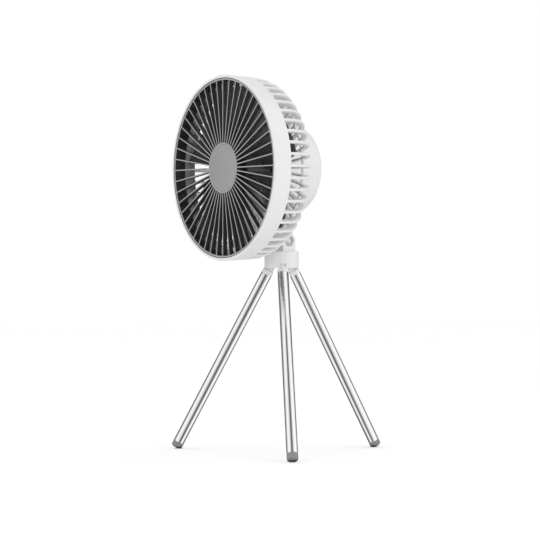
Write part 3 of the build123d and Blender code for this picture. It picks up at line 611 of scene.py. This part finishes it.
inner_radius = band_radius_at(slot_depth) - fin_depth
rim_radius = band_radius - rim_width
front_wall = back_depth - fin_depth
dome_inside = dome_radius - dome_wall
band = about_axis([(rim_radius, rim_lip_depth, 0),
                   (rim_radius - rim_lip, rim_lip_depth, rim_lip_radii[0]),
                   (rim_radius - rim_lip, 0, rim_lip_radii[1]),
                   (band_radius, 0, rim_edge_radius),
                   (band_radius_at(slot_depth), slot_depth, slot_edge_radius),
                   (inner_radius, slot_depth + slot_slope, slot_edge_radius),
                   (inner_radius, collar_depth + collar_slope, small_edge_radius),
                   (rim_radius, collar_depth, 0)], band_facets)
dome = about_axis([(0, front_wall, 0), (dome_radius, front_wall, dome_front_radii[0]),
                   (dome_radius, cover_depth, dome_mouth_radius),
                   (dome_inside, cover_depth, dome_mouth_radius),
                   (dome_inside, front_wall + dome_front_wall, dome_front_radii[1]),
                   (0, front_wall + dome_front_wall, 0)], dome_facets)
hoop = ring_about_axis(hoop_radius - hoop_width / 2, hoop_radius + hoop_width / 2, front_wall,
                       front_wall + hoop_depth, small_edge_radius, small_edge_radius,
                       dome_facets)
fins = repeated(fin(), fin_count, white)
piece_from([(body, white) for body in (fins, band, dome, hoop, lug())], "rear_housing_shell",
           "head", ["rear_housing"])

# ---------------------------------------------------------------- impeller
# Charcoal nylon moulding with six broad blades round a cup that covers the motor, smoother
# than the rest of the inside. A nut holds it on the motor's shaft.
impeller_charcoal = (0.090, 0.090, 0.093)
impeller_nylon = moulded("impeller_nylon", impeller_charcoal, roughness=0.24, spread=0.1)
finish_node("impeller", impeller_nylon)
finish_node("impeller_nut", zinc)

# ---------------------------------------------------------------- motor inside the cup
# Drawn steel bell with its bonded magnet ring, which turn with the shaft about a coated
# laminated core. The core sits on the bearing tube of a die-cast base.
bell_steel = (0.55, 0.55, 0.56)
cast_aluminium = (0.70, 0.70, 0.71)
core_coating = (0.05, 0.08, 0.12)
magnet_ferrite = (0.035, 0.035, 0.038)
motor_finishes = {
    "motor_bell": plated_steel("motor_steel", bell_steel, roughness=0.38),
    "motor_base": plated_steel("cast_aluminium", cast_aluminium, roughness=0.5),
    "motor_stator": moulded("core_coating", core_coating, roughness=0.45, spread=0.2),
    "magnet_ring": moulded("bonded_ferrite", magnet_ferrite, roughness=0.6, spread=0.2),
    "motor_shaft": zinc, "motor_bearings": zinc, "motor_screws": zinc}
for name, finish in motor_finishes.items():
    finish_node(name, finish)

# ---------------------------------------------------------------- battery and board
# Two sleeved round cells lie in a charcoal moulded cradle on the dome's front wall. Behind
# them stands the green board that the button presses on.
charcoal = (0.052, 0.052, 0.054)
cell_sleeve = (0.10, 0.22, 0.42)
solder_mask = (0.02, 0.14, 0.07)
power_finishes = {
    "battery_cradle": moulded("charcoal_abs", charcoal, roughness=0.42, spread=0.1),
    "battery_cells": moulded("cell_sleeve", cell_sleeve, roughness=0.3, spread=0.05),
    "circuit_board": moulded("solder_mask", solder_mask, roughness=0.35, spread=0.15)}
for name, finish in power_finishes.items():
    finish_node(name, finish)

# ---------------------------------------------------------------- rear cover and controls
# The cover closes the dome. In its flat middle sit the speed button, four light pipes and
# the charging socket.
button_grey = (0.52, 0.52, 0.52)
pipe_clearness = 0.8
pipe_ior = 1.49
pipe_haze_scale = 900
pipe_roughness = (0.05, 0.3)


def light_pipe():
    """Clear moulded light pipe, slightly clouded by its moulding."""
    material, tree, shader = new_material("light_pipe")
    place = add_node(tree, "ShaderNodeTexCoord").outputs["Object"]
    haze = noise(tree, place, pipe_haze_scale)
    connect(tree, shader, {"Transmission Weight": pipe_clearness, "IOR": pipe_ior,
                           "Roughness": remapped(tree, haze, (0, 1), pipe_roughness)})
    return material


finish_node("rear_cover", white)
finish_node("speed_button", moulded("button_abs", button_grey, roughness=0.35))
finish_node("charging_socket", zinc)
finish_node("indicator_pipes", light_pipe())

# ---------------------------------------------------------------- duct ring and grille
# A ring with a charcoal front lines the band and carries the grille, a charcoal moulding
# of 48 straight deep bars between its rim and its hub ring. Behind its front the ring is grey,
# which is painted shade for the shaded inside of the throat. The grille's front edges are
# sprayed light grey, and a plain satin grey cap is glued into the hub ring.
spray_grey = (0.46, 0.46, 0.46)
spray_depth = 0.2 * mm
spray_blur = 0.12 * mm         # half the width of the soft edge between two colours
# Painted shade: the duct ring's grey behind its charcoal front stands in for the shaded throat.
throat_painted_shade = (0.40, 0.40, 0.40)
throat_blur = 0.2 * mm
speckle_scale = 2200
speckle_shade = 0.95
cap_grey = (0.385, 0.385, 0.385)
grille_inset = grille_low.y - face_y
grille_radius = (grille_high.x - grille_low.x) / 2
grille_depth = 5.2 * mm
grille_back = grille_inset + grille_depth
grille_back_radius = 0.2 * mm
ring_width = 1.8 * mm
ring_front_radius = 0.35 * mm
bar_count = 48
bar_width = 1.4 * mm
bar_back_width = 1.12 * mm
bar_front_radius = 0.5 * mm
hub_ring_radius = 25.1 * mm
hub_plate_thickness = 2.0 * mm
cap_seat_radius = 23.3 * mm
cap_radius = 23.2 * mm
cap_back = grille_inset + 1.5 * mm
cap_edge_radii = (0.3 * mm, 0.1 * mm)
cap_facets = 96


def two_coloured(name, behind, before, edge, blur):
    """Moulding of one colour behind that place along the fan's axis, and of another before it."""
    material = moulded(name, behind, roughness=0.42, spread=0.1)
    tree = material.node_tree
    place = add_node(tree, "ShaderNodeTexCoord").outputs["Object"]
    depth = add_node(tree, "ShaderNodeSeparateXYZ", {0: place}).outputs["Y"]
    cover = remapped(tree, depth, (edge - blur, edge + blur), (1, 0))
    speckle = noise(tree, place, speckle_scale)
    speckled = [speckle_shade * channel for channel in before]
    paint = colour_ramp(tree, speckle, zip(noise_middle, (speckled, before)))
    painted_over(material, cover, paint)
    return material


def grille_bar():
    """One bar along +X, with a crowned front and a back that narrows for the mould."""
    outline = rounded([(-bar_width / 2, grille_inset, bar_front_radius),
                       (bar_width / 2, grille_inset, bar_front_radius),
                       (bar_back_width / 2, grille_back, grille_back_radius),
                       (-bar_back_width / 2, grille_back, grille_back_radius)])
    ends = (hub_ring_radius - ring_width / 2, grille_radius - ring_width / 2)
    return lofted([[Vector((radius, depth, sideways)) for sideways, depth in outline]
                   for radius in ends])


def grille_hoop(inner, outer):
    """Round rim of the grille, as deep as its bars."""
    return ring_about_axis(inner, outer, grille_inset, grille_back, ring_front_radius,
                           grille_back_radius, band_facets)


# painted shade: grey behind the collar's depth, charcoal in front of it
finish_node("duct_ring", two_coloured("duct_liner", throat_painted_shade, charcoal,
                                      face_y + collar_depth, throat_blur))
grille_finish = two_coloured("sprayed_grille", charcoal, spray_grey,
                             face_y + grille_inset + spray_depth, spray_blur)
plate_radius = hub_ring_radius - ring_width / 2
hub_plate = about_axis([(0, cap_back, 0), (plate_radius, cap_back, 0),
                        (plate_radius, cap_back + hub_plate_thickness, 0),
                        (0, cap_back + hub_plate_thickness, 0)], cap_facets)
grille_bodies = (repeated(grille_bar(), bar_count, grille_finish),
                 grille_hoop(grille_radius - ring_width, grille_radius),
                 grille_hoop(cap_seat_radius, hub_ring_radius), hub_plate)
piece_from([(body, grille_finish) for body in grille_bodies], "grille_moulding", "head",
           ["front_grille"])
cap = about_axis([(0, grille_inset, 0), (cap_radius, grille_inset, cap_edge_radii[0]),
                  (cap_radius, cap_back, cap_edge_radii[1]), (0, cap_back, 0)], cap_facets)
cap_finish = moulded("cap_satin_grey", cap_grey, roughness=0.36, grain_size=0.4, spread=0.04)
piece_from([(cap, cap_finish)], "grille_cap_plate", "head", ["grille_cap"])

# ---------------------------------------------------------------- studio
# A wide white floor in a white room, with weak broad lamps at the right, in front and above.
# Bright metal mirrors the room's own walls instead: white ones, with a dark gap beside the
# camera and a dim far corner.
floor_side = 8.0
floor_white = (0.92, 0.92, 0.92)
floor_lift = 0.23              # the floor's own light, seen by the camera alone
fill_strength = 0.83
wall_strength = 1.08
wall_tones = ((-180, 0.08), (-160, 0.10), (-144, 0.34), (-122, 0.95), (-100, 0.95), (-74, 0.80),
              (-60, 0.40), (-48, 0.14), (-38, 0.10), (-24, 0.16), (-12, 0.40), (3, 0.72),
              (18, 0.95), (40, 1.0), (62, 0.98), (74, 0.66), (84, 0.26), (96, 0.08),
              (112, 0.10), (130, 0.55), (144, 0.75), (158, 0.55), (172, 0.12))
lamps_aim = Vector((0, 0, 0.22))
lamps = (("lamp_right", (2.0, 0.5, 0.9), 1.2, 3.5),      # name, place, size and watts
         ("lamp_front", (-0.6, -2.2, 0.4), 1.2, 2.5),
         ("lamp_above", (0.2, -0.3, 2.2), 1.6, 0.4))


def mixed(tree, share, first, second):
    """Shader that goes from the first to the second with that share."""
    return add_node(tree, "ShaderNodeMixShader", {"Fac": share, 1: first, 2: second}).outputs[0]


def studio_floor():
    """White floor that keeps the fan's shadow and is open to mirror rays."""
    material, tree, shader = new_material("studio_floor")
    tree.nodes.remove(shader)
    rays = add_node(tree, "ShaderNodeLightPath").outputs
    matt = add_node(tree, "ShaderNodeBsdfDiffuse", {"Color": (*floor_white, 1)})
    shown = maths(tree, "MULTIPLY", rays["Is Camera Ray"], floor_lift)
    lift = add_node(tree, "ShaderNodeEmission", {"Strength": shown})
    both = add_node(tree, "ShaderNodeAddShader", {0: matt.outputs[0], 1: lift.outputs[0]})
    clear = add_node(tree, "ShaderNodeBsdfTransparent")
    surface = mixed(tree, rays["Is Glossy Ray"], both.outputs[0], clear.outputs[0])
    connect(tree, tree.nodes["Material Output"], {"Surface": surface})
    return material


def studio_world():
    """White room: a fill that lights the fan, a white backdrop, and walls for metal to mirror.

    The walls' tones follow the bearing about +Z, in degrees from +X.
    """
    room = bpy.data.worlds.new("studio")
    room.use_nodes = True
    tree = room.node_tree
    tree.nodes.clear()
    rays = add_node(tree, "ShaderNodeLightPath").outputs
    heading = add_node(tree, "ShaderNodeTexCoord").outputs["Generated"]
    sides = add_node(tree, "ShaderNodeSeparateXYZ", {0: heading}).outputs
    bearing = maths(tree, "ARCTAN2", sides["Y"], sides["X"])
    share = remapped(tree, bearing, (-pi, pi), (0, 1))
    tones = colour_ramp(tree, share, [((degrees + 180) / 360, (tone, tone, tone))
                                      for degrees, tone in wall_tones])
    fill, backdrop, walls = (
        add_node(tree, "ShaderNodeBackground", {"Color": colour, "Strength": strength})
        for colour, strength in (((1, 1, 1, 1), fill_strength), ((1, 1, 1, 1), 1),
                                 (tones, wall_strength)))
    mirrored = mixed(tree, rays["Is Glossy Ray"], fill.outputs[0], walls.outputs[0])
    seen = maths(tree, "MAXIMUM", rays["Is Camera Ray"], rays["Is Transmission Ray"])
    add_node(tree, "ShaderNodeOutputWorld",
             {"Surface": mixed(tree, seen, mirrored, backdrop.outputs[0])})
    return room


def softbox(name, place, size, watts):
    """Broad square lamp that looks at the fan and is not mirrored in it."""
    lamp = bpy.data.lights.new(name, "AREA")
    lamp.shape = "SQUARE"
    lamp.size = size
    lamp.energy = watts
    holder = bpy.data.objects.new(name, lamp)
    holder.location = place
    holder.rotation_euler = (lamps_aim - Vector(place)).to_track_quat("-Z", "Y").to_euler()
    holder.visible_glossy = False
    bpy.context.scene.collection.objects.link(holder)


plane = bmesh.new()
bmesh.ops.create_grid(plane, x_segments=1, y_segments=1, size=floor_side / 2)
floor_mesh = bpy.data.meshes.new("floor")
plane.to_mesh(floor_mesh)
plane.free()
floor_mesh.materials.append(studio_floor())
floor = bpy.data.objects.new("floor", floor_mesh)
bpy.context.scene.collection.objects.link(floor)
bpy.context.scene.world = studio_world()
for lamp_values in lamps:
    softbox(*lamp_values)

# ---------------------------------------------------------------- camera
# Level with the fan's neck and far away, on the bearing that shows three quarters of the face.
# It aims at a point in the tripod's middle, which the lens shift moves to its pixel.
camera_azimuth = radians(54.89)
camera_elevation = radians(0.37)
camera_distance = 2.425
camera_lens = 159.9            # millimetres, as is the sensor's width
camera_sensor = 36.0
picture_side = 540
target_pixel = (281.55, 271.8)
target_height = 0.1826
tilt_setback = 1.4 * mm        # tilt axis behind the tripod's middle
target = Vector((0, tilt_axis.y - tilt_setback, target_height))
towards_camera = Vector((sin(camera_azimuth) * cos(camera_elevation),
                         -cos(camera_azimuth) * cos(camera_elevation), sin(camera_elevation)))
camera_data = bpy.data.cameras.new("camera")
camera_data.lens = camera_lens
camera_data.sensor_width = camera_sensor
camera_data.shift_x = (picture_side / 2 - target_pixel[0]) / picture_side
camera_data.shift_y = (target_pixel[1] - picture_side / 2) / picture_side
camera = bpy.data.objects.new("camera", camera_data)
camera.location = target + towards_camera * camera_distance
camera.rotation_euler = (-towards_camera).to_track_quat("-Z", "Y").to_euler()
bpy.context.scene.collection.objects.link(camera)
bpy.context.scene.camera = camera
bpy.context.scene.view_settings.view_transform = "Standard"
